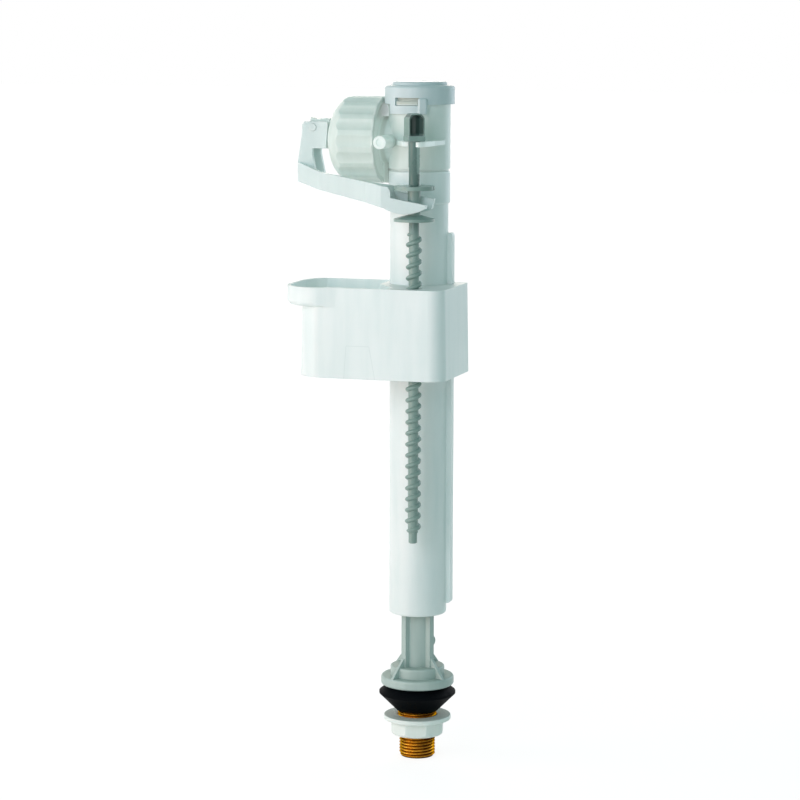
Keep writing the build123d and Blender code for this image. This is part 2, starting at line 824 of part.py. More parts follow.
def fork_relief():
    """Room round the screw above the prongs, cut from the end of the limb."""
    foot = branch_z - fork_front_root - 1
    return Pos(screw_x, screw_y, 0) * turned([
        (0, foot),
        (fork_clear_foot, foot),
        (fork_clear_top, branch_z - arm_root_high),
        (fork_clear_top, branch_z),
        (0, branch_z),
    ])


def lever_arm():
    """Lever with two cheeks, a bent limb and a fork."""
    inner = nose_half_width + slide_gap
    outer = inner + cheek_thickness
    top = branch_z + nose_rise - 0.4
    cheek_points = [
        (-cheek_heel_top, top),
        (-cheek_front_top, top),
        (-cheek_front_top, branch_z + pivot_rise),
        (-cheek_front_foot, branch_z - nose_drop + 0.2),
        (-cheek_throat, branch_z - nose_drop + 0.2),
        (-cheek_throat, branch_z - 9.0),
        (-cheek_toe, branch_z - 19.0),
        (-cheek_toe, branch_z - arm_heel_low - 0.9),
        (-cheek_heel_foot, branch_z - arm_heel_low),
        (-cheek_heel_foot, branch_z - arm_heel_high),
    ]
    body = side(cheek_points, -outer, -inner) + side(cheek_points, inner, outer)
    reach = abs(screw_y) + disc_radius
    limb = plan(arm_ribbon(), branch_z - arm_root_low, branch_z) & side(arm_profile(), -reach, reach)
    body += limb - fork_relief()
    plate_x = -pad_back_x()
    plate_low = branch_z - arm_heel_high - 2.0
    body += block(plate_x - 0.8, plate_x - 0.8 + end_plate_thickness, -inner, inner, plate_low, top - 1.5)
    slot = fork_slot()
    front_y = screw_y - slot - fork_prong
    front_foot = (fork_front_tip_x, fork_front_low)
    front_top = (fork_front_tip_x, fork_front_high)
    back_foot = (fork_back_tip_x - fork_back_slant, fork_back_low)
    back_top = (fork_back_tip_x, fork_back_high)
    body += fork_prong_shape(front_foot, front_top, fork_front_root, front_y)
    body += fork_prong_shape(back_foot, back_top, fork_back_root, screw_y + slot)
    web_end = screw_x - hub_radius - slide_gap - close_lift
    web_y = slot + fork_prong / 2
    body += block(-fork_root_x - fork_prong / 2, web_end, screw_y - web_y, screw_y + web_y,
                  branch_z - fork_root_low + fork_web_inset, branch_z - fork_front_root - fork_web_inset)
    body -= bar_y(pin_radius + turn_gap, -pivot_distance, -outer, outer, branch_z + pivot_rise)
    body -= drum(pad_radius, plate_x, plate_x + 4, branch_z - jet_drop)
    return body


def pad_front_x():
    """Distance of the pad's sealing face from the tube axis, valve open."""
    swing = close_lift / (pivot_distance + screw_x)
    return nose_end + jet_proud + swing * (pivot_rise + jet_drop) + slide_gap


def pad_back_x():
    """Distance of the pad's back from the tube axis."""
    return pad_front_x() + pad_thickness


def pilot_pad():
    """Rubber pad that closes the pilot jet."""
    return drum(pad_radius, -pad_back_x(), -pad_front_x(), branch_z - jet_drop)


def float_outline(grow):
    """Plan of the float, grown outwards by a margin, at its foot."""
    x0 = -float_left - grow
    x1 = float_right + grow
    y0 = -float_front - grow
    y1 = float_back + grow
    face = make_face(Polyline((x0, y0), (x1, y0), (x1, y1), (x0, y1), close=True))
    corners = face.vertices()
    left = corners.group_by(Axis.X)[0].sort_by(Axis.Y)
    face = fillet(left[0], corner_front_left + grow)
    left = face.vertices().group_by(Axis.Y)[-1].sort_by(Axis.X)
    face = fillet(left[0], corner_back_left + grow)
    right = face.vertices().group_by(Axis.X)[-1].sort_by(Axis.Y)
    face = fillet(right[0], corner_front_right + grow)
    right = face.vertices().group_by(Axis.X)[-1].sort_by(Axis.Y)
    return fillet(right[-1], corner_back_right + grow)


def float_body(grow, z0, z1):
    """Drafted float volume between two heights."""
    foot = seat_z + float_foot_height
    solid = extrude(Pos(0, 0, foot) * float_outline(grow), float_height, taper=float_draft)
    return solid & block(-200, 200, -200, 200, z0, z1)


def float_lip(inset):
    """Pouring lip round the left end of the tray, made smaller by an inset."""
    top = seat_z + float_foot_height + float_height
    shift = Pos(lip_side - lip_reach, 0, top - lip_height + inset)
    body = extrude(shift * float_outline(lip_side - inset), lip_height - inset)
    body = fillet(body.edges().group_by(Axis.Z)[0], lip_round)
    draft = float_height * sin(radians(float_draft))
    foot = top - lip_height
    back = float_back - draft - inset
    front = float_front + lip_side - inset
    reach = front * 3
    first = (-lip_fade_start - inset, -front, foot)
    last = (-lip_fade_end - inset, -float_front + draft * 1.2 + inset, foot)
    fade = Spline(first, last, tangents=[(1, 0, 0), (1, 0, 0)])
    rest = Polyline(last, (last[0], back, foot), (-reach, back, foot), (-reach, -front, foot), first)
    return body & extrude(make_face(fade + rest), lip_height, dir=(0, 0, 1))


def deck_plan(shift, z0, z1):
    """Everything to the right of the tray, moved to the right by a shift."""
    reach = float_left * 2
    return plan([
        (-deck_back_x + shift, reach),
        (-deck_back_x + shift, -deck_turn_y),
        (-deck_front_x + shift, screw_y + 1),
        (-deck_front_x + shift, -reach),
        (reach, -reach),
        (reach, reach),
    ], z0, z1)


def float_cup():
    """Float: an open bell below, a water tray above, a sleeve round the tube."""
    foot = seat_z + float_foot_height
    top = foot + float_height
    tray_floor = top - tray_depth
    sleeve_radius = tube_radius + slide_gap + sleeve_wall
    boss_radius = thread_radius + slide_gap + boss_wall
    body = float_body(0, foot, top) + float_lip(0)
    body -= float_body(-float_wall, foot, tray_floor - float_wall)
    body -= float_body(-float_wall, foot, top - float_wall) & deck_plan(float_wall * 1.2, foot, top)
    tray = float_body(-float_wall, tray_floor, top) + float_lip(float_wall)
    body -= tray - deck_plan(0, foot, top)
    body += rod(sleeve_radius, foot, top)
    body += rod(boss_radius, foot, top, screw_x, screw_y)
    body -= rod(tube_radius + slide_gap, foot, top)
    body -= rail_block(slide_gap * 1.5, foot, top)
    body -= rod(thread_radius + slide_gap, foot, top, screw_x, screw_y)
    return body


parts = {
    "inlet_stem": inlet_stem,
    "threaded_tail": threaded_tail,
    "cone_washer": cone_washer,
    "inlet_filter": inlet_filter,
    "seating_washer": seating_washer,
    "back_nut": back_nut,
    "outer_tube": outer_tube,
    "guide_bush": guide_bush,
    "riser_tube": riser_tube,
    "riser_seals": riser_seals,
    "head_body": head_body,
    "inlet_elbow": inlet_elbow,
    "diaphragm": diaphragm,
    "pilot_cover": pilot_cover,
    "pilot_jet": pilot_jet,
    "pivot_pin": pivot_pin,
    "cap_nut": cap_nut,
    "top_cap": top_cap,
    "cap_seal": cap_seal,
    "adjusting_screw": adjusting_screw,
    "lift_collar": lift_collar,
    "lever_arm": lever_arm,
    "pilot_pad": pilot_pad,
    "float_cup": float_cup,
}

os.makedirs("parts", exist_ok=True)
for name, make in parts.items():
    export_step(make(), f"parts/{name}.step")
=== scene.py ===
# %% [markdown]
# A bottom inlet fill valve stands on its threaded tail, as it would before it
# goes into a cistern. Nearly all of it is moulded plastic: glossy white for the
# tube and float, a milky natural plastic for the head, grey for the stem and the
# screw, ivory for the nut, with black rubber and a brass tail at the foot.
# The CAD frame already holds every moulded piece at its real size. This lesson
# loads it, sets the camera and the light, mixes the finishes, and then makes
# the pieces whose real shape needs more than the frame's plain solids.

# %% Load the frame
from math import atan2, cos, floor, pi, radians, sin, tau

import bmesh
import bpy
from mathutils import Matrix, Vector


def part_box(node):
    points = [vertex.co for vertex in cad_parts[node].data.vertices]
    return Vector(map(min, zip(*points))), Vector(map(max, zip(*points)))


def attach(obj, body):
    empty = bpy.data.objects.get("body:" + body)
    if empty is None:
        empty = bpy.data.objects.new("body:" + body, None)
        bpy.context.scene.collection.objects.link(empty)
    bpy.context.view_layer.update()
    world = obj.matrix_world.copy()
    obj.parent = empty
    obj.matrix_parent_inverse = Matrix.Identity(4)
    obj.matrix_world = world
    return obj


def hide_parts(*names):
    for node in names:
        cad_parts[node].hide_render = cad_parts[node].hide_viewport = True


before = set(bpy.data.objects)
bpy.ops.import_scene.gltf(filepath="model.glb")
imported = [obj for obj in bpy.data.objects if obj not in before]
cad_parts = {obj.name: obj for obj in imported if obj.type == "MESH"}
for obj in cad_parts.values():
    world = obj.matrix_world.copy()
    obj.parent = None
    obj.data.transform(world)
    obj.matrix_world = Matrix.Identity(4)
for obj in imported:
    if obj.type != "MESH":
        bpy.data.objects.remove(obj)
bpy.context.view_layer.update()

MM = 0.001

# %% [markdown]
# The photograph looks almost level at the valve from a little to its right.
# A long lens keeps the tube's sides parallel. The view could be set by eye, but
# the ellipses of the flange and the cap give its pitch, and the tube's two ends
# give its distance, so the numbers below are measured ones.

# %% Camera
VIEW_TURN = radians(17.0)
VIEW_TILT = radians(7.99)
VIEW_ROLL = radians(0.18)
VIEW_DISTANCE = 1.630
VIEW_ASIDE = 0.0107
VIEW_HEIGHT = 0.4391
SENSOR_WIDTH = 36.0
LENS_LENGTH = 128.25

camera_data = bpy.data.cameras.new("camera")
camera_data.sensor_width = SENSOR_WIDTH
camera_data.lens = LENS_LENGTH
camera = bpy.data.objects.new("camera", camera_data)
bpy.context.scene.collection.objects.link(camera)
camera.location = (
    sin(VIEW_TURN) * VIEW_DISTANCE - cos(VIEW_TURN) * VIEW_ASIDE,
    -cos(VIEW_TURN) * VIEW_DISTANCE - sin(VIEW_TURN) * VIEW_ASIDE,
    VIEW_HEIGHT,
)
turn = Matrix.Rotation(VIEW_TURN, 4, "Z")
tilt = Matrix.Rotation(pi / 2 - VIEW_TILT, 4, "X")
roll = Matrix.Rotation(VIEW_ROLL, 4, "Z")
camera.rotation_euler = (turn @ tilt @ roll).to_euler()
bpy.context.scene.camera = camera
bpy.context.scene.view_settings.view_transform = "Standard"
print("camera at", [round(v, 3) for v in camera.location])

# %% [markdown]
# Shader nodes are usually wired by hand, one link at a time. Here a small class
# wraps a node's output, so that a sum in Python adds the Math nodes for it, and
# each finish further down reads like a recipe.

# %% A node's output as a signal
class Signal:
    """One output of a shader node, which can stand in a Python sum."""

    def __init__(self, wiring, socket):
        self.wiring = wiring
        self.socket = socket

    def out(self, name):
        """Another output of the same node."""
        return Signal(self.wiring, self.socket.node.outputs[name])

    def math(self, operation, first, second):
        """A Math node on two values or signals."""
        return self.wiring.node("ShaderNodeMath", {"operation": operation}, {0: first, 1: second})

    def __add__(self, other):
        return self.math("ADD", self, other)

    def __radd__(self, other):
        return self.math("ADD", other, self)

    def __sub__(self, other):
        return self.math("SUBTRACT", self, other)

    def __rsub__(self, other):
        return self.math("SUBTRACT", other, self)

    def __mul__(self, other):
        return self.math("MULTIPLY", self, other)

    def __rmul__(self, other):
        return self.math("MULTIPLY", other, self)

    def __neg__(self):
        return self.math("MULTIPLY", self, -1.0)

    def __abs__(self):
        return self.math("ABSOLUTE", self, 0.0)


print("signals can stand in sums")

# %% [markdown]
# One method makes every other kind of node, for a material or for the world,
# from its type, its settings and its sockets. The settings are made first,
# because a node's sockets can depend on them.

# %% Wiring of nodes
class Wiring:
    """The node tree of a material or of the world, and what adds to it."""

    def __init__(self, tree):
        self.tree = tree

    def node(self, kind, settings=None, sockets=None, out=0):
        """Makes a node, makes its settings, then fills its sockets."""
        made = self.tree.nodes.new(kind)
        for key, value in (settings or {}).items():
            setattr(made, key, value)
        for key, value in (sockets or {}).items():
            self.feed(made.inputs[key], value)
        return Signal(self, made.outputs[out]) if made.outputs else None

    def feed(self, socket, value):
        """Links a signal to a socket, or sets a plain value on it."""
        if isinstance(value, Signal):
            self.tree.links.new(value.socket, socket)
        else:
            socket.default_value = value

    def seen(self):
        """1 for camera, glossy and transmission rays, 0 for all others."""
        rays = self.node("ShaderNodeLightPath")
        total = rays.out("Is Camera Ray") + rays.out("Is Glossy Ray") + rays.out("Is Transmission Ray")
        return self.node("ShaderNodeClamp", {}, {0: total})


print("nodes can be wired")

# %% [markdown]
# A finish is a material with its masks. A mask could be painted on an image, but
# then every piece would have to be unwrapped first. These masks come from the
# place on the piece, in metres from its own origin, so that they can be written
# with the same measures as the shapes.

# %% A finish and its masks
BEVEL_SAMPLES = 6


class Finish(Wiring):
    """A node material with a plain name."""

    def __init__(self, name):
        self.name = name
        self.material = bpy.data.materials.new(name)
        self.material.use_nodes = True
        super().__init__(self.material.node_tree)
        self.shader = self.tree.nodes["Principled BSDF"]
        self.place = self.node("ShaderNodeTexCoord").out("Object")
        self.facing = self.place.out("Normal")

    def coat(self, **sockets):
        """Feeds the Principled shader; an underscore stands for a space."""
        for key, value in sockets.items():
            self.feed(self.shader.inputs[key.replace("_", " ")], value)

    def source(self, socket_name):
        """The signal that feeds one of the shader's sockets now."""
        return Signal(self, self.shader.inputs[socket_name].links[0].from_socket)

    def repaint(self, mask, colour):
        """Lays a colour over the base colour, as far as the mask says."""
        self.coat(Base_Color=self.mix(mask, self.source("Base Color"), colour))

    def coordinate(self, name, vector=None):
        """One coordinate of a vector, or of the place on the piece, in metres."""
        return self.node("ShaderNodeSeparateXYZ", {}, {0: vector or self.place}).out(name)

    def length(self, vector):
        """The length of a vector."""
        return self.node("ShaderNodeVectorMath", {"operation": "LENGTH"}, {0: vector}, out=1)

    def off_axis(self):
        """How far the place is from the piece's own Z axis, in metres."""
        sockets = {0: self.place, 1: (1.0, 1.0, 0.0)}
        return self.length(self.node("ShaderNodeVectorMath", {"operation": "MULTIPLY"}, sockets))

    def noise(self, scale, detail=3.0, stretch=(1.0, 1.0, 1.0)):
        """Noise over the piece, in cycles per metre."""
        spot = self.node("ShaderNodeMapping", {}, {"Vector": self.place, "Scale": stretch})
        return self.node("ShaderNodeTexNoise", {}, {"Vector": spot, "Scale": scale, "Detail": detail})

    def mix(self, factor, first, second):
        """A colour between two colours, which a Mix node takes in its sockets 6 and 7."""
        settings = {"data_type": "RGBA", "clamp_factor": True}
        return self.node("ShaderNodeMix", settings, {0: factor, 6: first, 7: second}, out=2)

    def step_up(self, signal, low, high):
        """A smooth step from 0 to 1 as the signal goes from low to high."""
        settings = {"interpolation_type": "SMOOTHSTEP"}
        return self.node("ShaderNodeMapRange", settings, {0: signal, 1: low, 2: high})

    def step_down(self, signal, low, high):
        """A smooth step from 1 to 0 as the signal goes from low to high."""
        return 1.0 - self.step_up(signal, low, high)

    def soft_edges(self, radius):
        """Normals that round the edges by this radius, in metres."""
        return self.node("ShaderNodeBevel", {"samples": BEVEL_SAMPLES}, {"Radius": radius})

    def bump(self, height, distance, normal):
        """Raises the surface by a height signal, in metres."""
        return self.node("ShaderNodeBump", {}, {"Distance": distance, "Height": height, "Normal": normal})


print("finishes can be mixed")

# %% [markdown]
# Colours are easiest to write as a screen shows them, from 0 to 255, but a
# shader counts light itself. The standard screen curve turns one into the other.

# %% Colours
def linear(shown):
    """The share of full light behind a screen value of 0 to 255."""
    share = shown / 255
    return ((share + 0.055) / 1.055) ** 2.4 if share > 0.04045 else share / 12.92


def paint(red, green, blue):
    """A colour written as on a screen, as the shader takes it."""
    return (linear(red), linear(green), linear(blue), 1.0)


print("a screen value of 128 is", round(linear(128), 3), "of full light")

# %% [markdown]
# Soft studio light comes from large softboxes. The ones on the left, one of them
# warm and low, make the tube brightest on its left and its foot a shade brighter
# than its top. Two behind light the edges there. A few small lamps would be
# simpler, but they would draw hard shadows between the parts. A cool, dim sky
# gives the rest. The camera, gloss and glass see it white instead, so that the
# white background puts no more light on the object.

# %% Light
SOFTBOX_SIZE = 0.6
SOFTBOX_DISTANCE = 1.0
SOFTBOX_AIM = Vector((0.0, 0.0, 0.18))
HIGH_LAMP = 0.55
LOW_LAMP = 0.08
SKY_TINT = (0.545, 1.0, 0.958, 1.0)
SKY_STRENGTH = 0.308
PURE_WHITE = (1.0, 1.0, 1.0, 1.0)


def softbox(name, turn_degrees, height, power, colour):
    """A square area lamp, turned about the valve from the front, facing it."""
    data = bpy.data.lights.new(name, "AREA")
    data.size = SOFTBOX_SIZE
    data.energy = power
    data.color = colour
    lamp = bpy.data.objects.new(name, data)
    bpy.context.scene.collection.objects.link(lamp)
    angle = radians(turn_degrees)
    lamp.location = (sin(angle) * SOFTBOX_DISTANCE, -cos(angle) * SOFTBOX_DISTANCE, height)
    aim = SOFTBOX_AIM - lamp.location
    lamp.rotation_euler = aim.to_track_quat("-Z", "Y").to_euler()


softbox("left_softbox", -70, HIGH_LAMP, power=3.06, colour=(1.0, 0.905, 0.93))
softbox("low_softbox", -40, LOW_LAMP, power=3.45, colour=(1.0, 0.652, 0.559))
softbox("front_softbox", -10, HIGH_LAMP, power=3.39, colour=(0.917, 0.906, 1.0))
softbox("right_back_softbox", 150, HIGH_LAMP, power=2.37, colour=(0.806, 0.852, 1.0))
softbox("left_back_softbox", -160, HIGH_LAMP, power=3.21, colour=(1.0, 0.844, 0.779))

world = bpy.data.worlds.new("sky")
bpy.context.scene.world = world
world.use_nodes = True
world.node_tree.nodes.clear()
sky = Wiring(world.node_tree)
dim_sky = sky.node("ShaderNodeBackground", {}, {"Color": SKY_TINT, "Strength": SKY_STRENGTH})
white_sky = sky.node("ShaderNodeBackground", {}, {"Color": PURE_WHITE, "Strength": 1.0})
both = sky.node("ShaderNodeMixShader", {}, {0: sky.seen(), 1: dim_sky, 2: white_sky})
sky.node("ShaderNodeOutputWorld", {}, {"Surface": both})
print("five softboxes and the sky are lit")

# %% [markdown]
# The valve stands on a pale studio table. Its surface glows white to the camera
# and keeps a share of its own shading, and that share is what shows the
# valve's soft shadow. It is largest close to the valve.

# %% Floor
FLOOR_HALF = 12.0
TABLE_GLOW = 1.19
NEAR_GLOW_SHARE = 0.7
FAR_GLOW_SHARE = 0.85
SHADOW_REACH = (0.2, 0.8)

floor_mesh = bpy.data.meshes.new("floor")
corner_signs = ((-1, -1), (1, -1), (1, 1), (-1, 1))
floor_corners = [(x * FLOOR_HALF, y * FLOOR_HALF, 0.0) for x, y in corner_signs]
floor_mesh.from_pydata(floor_corners, [], [(0, 1, 2, 3)])
floor_object = bpy.data.objects.new("floor", floor_mesh)
bpy.context.scene.collection.objects.link(floor_object)

table = Finish("table_white")
table.coat(Base_Color=paint(244, 240, 239), Roughness=0.9)
shine = table.node("ShaderNodeEmission", {}, {"Color": PURE_WHITE, "Strength": TABLE_GLOW})
shaded = Signal(table, table.shader.outputs[0])
far_off = table.step_up(table.length(table.place), *SHADOW_REACH)
glow_share = NEAR_GLOW_SHARE + far_off * (FAR_GLOW_SHARE - NEAR_GLOW_SHARE)
cover = table.node("ShaderNodeMixShader", {}, {0: table.seen() * glow_share, 1: shaded, 2: shine})
table.feed(table.tree.nodes["Material Output"].inputs["Surface"], cover)
floor_mesh.materials.append(table.material)
print("the floor is down")

# %% [markdown]
# Injection-moulded plastic is never a single flat colour. The melt leaves soft
# clouds and long flow marks, the mould leaves a very fine grain, handling
# leaves faint scuffs, and every edge has a small round that catches the light.
# The edges are also painted a little lighter, a painted highlight. Faces that
# look up are dulled by dust and painted darker, a painted shade. One recipe
# gives all of that, and each plastic sets its own colour, gloss and milkiness.
# The number beside each mark says how much of it shows. Milkiness is light
# that scatters under the surface, so it is set as plain numbers on the shader,
# and a small glow, which is painted light, stands in for the light that comes
# through from behind.

# %% The recipe for moulded plastic
CLOUDS_PER_METRE = 22.0
FLOW_MARKS_PER_METRE = 160.0
SCUFFS_PER_METRE = 900.0
GRAINS_PER_METRE = 5200.0
LONG_UPRIGHT = (1.0, 1.0, 0.12)
LONG_FRONT_TO_BACK = (1.0, 0.25, 1.0)
CLOUD_EDGE = (0.35, 0.7)
STREAK_EDGE = (0.38, 0.66)
SCUFF_EDGE = (0.56, 0.74)
BEND_OF_EDGE = (0.01, 0.2)
LOOKS_UP = (0.6, 0.95)
EDGE_ROUND = 0.35 * MM
GRAIN_HEIGHT = 0.04 * MM
PLASTIC_IOR = 1.49
SCATTER_COLOURS = (0.9, 1.0, 1.0)
# Painted highlight for the rounded edges.
EDGE_HIGHLIGHT = paint(244, 250, 249)
# Painted shade for faces that look up.
TOP_SHADE = paint(128, 146, 136)


def moulded(name, colour, shade, rough, milk, depth, painted_glow=0.0, dust_and_shade=0.0):
    """A plastic with a main colour, a deeper shade of it, its roughness and milkiness."""
    finish = Finish(name)
    clouds = finish.step_up(finish.noise(CLOUDS_PER_METRE, detail=2.0), *CLOUD_EDGE)
    flow = finish.noise(FLOW_MARKS_PER_METRE, detail=4.0, stretch=LONG_UPRIGHT)
    streaks = finish.step_up(flow, *STREAK_EDGE)
    rubs = finish.noise(SCUFFS_PER_METRE, detail=5.0, stretch=LONG_FRONT_TO_BACK)
    scuff = finish.step_up(rubs, *SCUFF_EDGE)
    grain = finish.noise(GRAINS_PER_METRE, detail=2.0)
    rounded = finish.soft_edges(EDGE_ROUND)
    raw = finish.node("ShaderNodeNewGeometry").out("Normal")
    bend = finish.node("ShaderNodeVectorMath", {"operation": "DOT_PRODUCT"}, {0: rounded, 1: raw}, out=1)
    edge = finish.step_up(1.0 - bend, *BEND_OF_EDGE)
    looks_up = finish.step_up(finish.coordinate("Z", finish.facing), *LOOKS_UP)
    # Painted shade: faces that look up are painted darker, and dust dulls them.
    dust_and_top_shade = looks_up * (0.8 + clouds * 0.2) * dust_and_shade
    body = finish.mix(clouds * 0.3 + streaks * 0.45 + scuff * 0.15, colour, shade)
    # Painted highlight: the rounded edges are painted lighter.
    edge_highlighted = finish.mix(edge * 0.35, body, EDGE_HIGHLIGHT)
    finish.coat(
        Base_Color=finish.mix(dust_and_top_shade, edge_highlighted, TOP_SHADE),
        Roughness=rough + clouds * 0.05 + scuff * 0.12 - edge * 0.06 + dust_and_top_shade * 0.6,
        Normal=finish.bump(grain * 0.5 + flow * 0.5, GRAIN_HEIGHT, rounded),
        Subsurface_Weight=milk,
        Subsurface_Radius=SCATTER_COLOURS,
        Subsurface_Scale=depth,
        IOR=PLASTIC_IOR,
        # Painted light: an emission that stands in for light coming through the plastic.
        Emission_Color=colour,
        Emission_Strength=painted_glow,
    )
    return finish


print("the recipe is written")

# %% [markdown]
# Eight plastics are used. The tube and float are a bright white and the nut at
# the foot is ivory. The head, its cap, its nut and the arm have little or no
# pigment, which is why they are the milky ones. The cap nut's plastic is a
# shaded copy of the head's, nearly the same colours with less painted glow.
# The stem and the screw are two greys. One white for all would be simpler, but
# side by side the whites differ.

# %% The plastics
plastics = [
    moulded("white_plastic", paint(238, 245, 243), paint(225, 236, 234),
            rough=0.30, milk=0.25, depth=2.0 * MM, painted_glow=0.03, dust_and_shade=0.35),
    moulded("cap_plastic", paint(204, 218, 219), paint(193, 210, 211),
            rough=0.33, milk=0.2, depth=1.5 * MM, painted_glow=0.02),
    moulded("natural_plastic", paint(217, 228, 223), paint(206, 219, 213),
            rough=0.36, milk=0.55, depth=4.0 * MM, painted_glow=0.19),
    # A shaded copy of the head's natural plastic, with less painted glow, for the cap nut.
    moulded("shaded_natural_plastic", paint(218, 229, 223), paint(207, 220, 213),
            rough=0.36, milk=0.55, depth=4.0 * MM, painted_glow=0.08),
    moulded("arm_plastic", paint(213, 226, 224), paint(205, 219, 217),
            rough=0.38, milk=0.4, depth=3.0 * MM, painted_glow=0.07),
    moulded("grey_plastic", paint(183, 200, 194), paint(166, 185, 179),
            rough=0.36, milk=0.0, depth=1.0 * MM, dust_and_shade=0.5),
    moulded("screw_plastic", paint(143, 167, 159), paint(120, 147, 139),
            rough=0.27, milk=0.0, depth=1.0 * MM),
    moulded("ivory_plastic", paint(240, 247, 242), paint(228, 238, 231),
            rough=0.35, milk=0.35, depth=2.0 * MM, painted_glow=0.03, dust_and_shade=0.75),
]
finishes = {plastic.name: plastic for plastic in plastics}
print("plastics:", ", ".join(finishes))

# %% [markdown]
# The float shows how its mould was put together: the faint outline of a small
# insert low on its front. It has no depth to speak of, so it is drawn in the
# colour, along the soft edge of a mask. The insert's two sides lean a little.

# %% Mould mark on the float
FLOAT_FRONT = (38.5 * MM, 39.5 * MM)
INSERT_TOP = 245.7 * MM
INSERT_LEFT = 29.7 * MM
INSERT_RIGHT = 16.1 * MM
LEFT_LEAN = 0.064
RIGHT_LEAN = 0.19
LINE_HALF = 0.35 * MM
MOULD_LINE = paint(196, 211, 208)

white = finishes["white_plastic"]
across = white.coordinate("X")
on_front = white.step_up(-white.coordinate("Y"), *FLOAT_FRONT)
below_top = INSERT_TOP - white.coordinate("Z")
right_of_left = white.step_up(across + INSERT_LEFT + below_top * LEFT_LEAN, -LINE_HALF, LINE_HALF)
left_of_right = white.step_up(-across - INSERT_RIGHT + below_top * RIGHT_LEAN, -LINE_HALF, LINE_HALF)
insert = right_of_left * left_of_right * white.step_up(below_top, -LINE_HALF, LINE_HALF) * on_front
outline = insert * (1.0 - insert) * 4.0
white.repaint(outline * 0.35, MOULD_LINE)
print("the mould insert is marked")

# %% [markdown]
# The float's pouring lip runs out into the front wall without an edge, and the
# frame's solid has an edge there. The frame's shapes are kept, so the normals
# are turned to the front where the lip ends, and the eye sees it melt into the
# wall.

# %% End of the pouring lip
LIP_LEFT = (-50.5 * MM, -47.0 * MM)
LIP_RIGHT = (-34.0 * MM, -31.5 * MM)
LOOKS_FORWARD = (0.5, 0.8)
LIP_CALM = 0.75
TO_THE_FRONT = (0.0, -1.0, 0.0)

outward = white.step_up(-white.coordinate("Y", white.facing), *LOOKS_FORWARD)
lip_end = white.step_up(across, *LIP_LEFT) * white.step_down(across, *LIP_RIGHT) * on_front
calm = {0: lip_end * outward * LIP_CALM, 4: white.source("Normal"), 5: TO_THE_FRONT}
calmed = white.node("ShaderNodeMix", {"data_type": "VECTOR"}, calm, out=1)
white.coat(Normal=white.node("ShaderNodeVectorMath", {"operation": "NORMALIZE"}, {0: calmed}))
print("the lip melts into the wall")

# %% [markdown]
# The valve head is milky, and it has painted light where it is thin: the
# flange between the cap nut and the barrel, the spout and the guide plate glow,
# and the spout is painted lighter too. Everywhere else the wall is thick and
# less than half of that painted glow comes through. Scattering would show that
# too, but only with a lamp behind the valve. The corner behind the flange, and
# the places beside and under the top cap, are painted darker and browner, a
# painted shade.

# %% Thin wall of the head
FLANGE_NEAR = (17.8 * MM, 20.5 * MM)
FLANGE_FAR = (26.2 * MM, 28.5 * MM)
FLANGE_TOP = (372.0 * MM, 375.5 * MM)
SPOUT_FRONT = (19.5 * MM, 21.5 * MM)
SPOUT_LEFT = (17.2 * MM, 17.8 * MM)
CORNER_NEAR = (16.2 * MM, 17.8 * MM)
CORNER_FAR = (19.2 * MM, 20.5 * MM)
BESIDE_CAP = (16.5 * MM, 17.5 * MM)
CAP_FOOT = (370.0 * MM, 374.5 * MM)
UNDER_CAP = (380.6 * MM, 381.2 * MM)
# Painted light: the glow colours for thick and thin walls, and the spout's lighter colour.
THICK_WALL_PAINTED_LIGHT = paint(152, 160, 157)
THIN_WALL_PAINTED_LIGHT = paint(217, 228, 223)
SPOUT_PAINTED_LIGHT = paint(240, 246, 243)
# Painted shade colour for the corner and for beside and under the top cap.
CORNER_SHADE = paint(150, 156, 140)

natural = finishes["natural_plastic"]
leftward = -natural.coordinate("X")
head_rise = natural.coordinate("Z")
flange = natural.step_up(leftward, *FLANGE_NEAR) * natural.step_down(leftward, *FLANGE_FAR)
thin = flange * natural.step_down(head_rise, *FLANGE_TOP)
spout = natural.step_up(-natural.coordinate("Y"), *SPOUT_FRONT) * natural.step_down(leftward, *SPOUT_LEFT)
in_corner = natural.step_up(leftward, *CORNER_NEAR) * natural.step_down(leftward, *CORNER_FAR)
by_cap = natural.step_up(leftward, *BESIDE_CAP) * natural.step_up(head_rise, *CAP_FOOT)
under_cap = natural.step_up(head_rise, *UNDER_CAP)
# Painted shade: the corner behind the flange, and beside and under the top cap, is painted darker.
natural.repaint(in_corner * 0.35 + by_cap * 0.4 + under_cap * 0.6, CORNER_SHADE)
# Painted light: the spout is painted lighter, and the thin places glow brighter.
natural.repaint(spout * 0.4, SPOUT_PAINTED_LIGHT)
natural.coat(Emission_Color=natural.mix(spout, natural.mix(thin, THICK_WALL_PAINTED_LIGHT, THIN_WALL_PAINTED_LIGHT), THIN_WALL_PAINTED_LIGHT))
print("the thin wall glows")

# %% [markdown]
# The adjusting screw is a darker grey than the stem. Its rod above the collar
# is painted darker still, a painted shade. Just under the head, one side of it
# is painted pale again, a painted highlight.

# %% Painted shade and highlight on the screw's rod
ROD_EDGE = (3.3 * MM, 3.6 * MM)
ROD_SHADE_FROM = (306.0 * MM, 316.0 * MM)
ROD_ONE_SIDE = (1.9 * MM, 2.6 * MM)
ROD_HIGHLIGHT_FROM = (342.0 * MM, 344.0 * MM)
ROD_SHADE = paint(70, 104, 98)
ROD_HIGHLIGHT = paint(166, 190, 182)

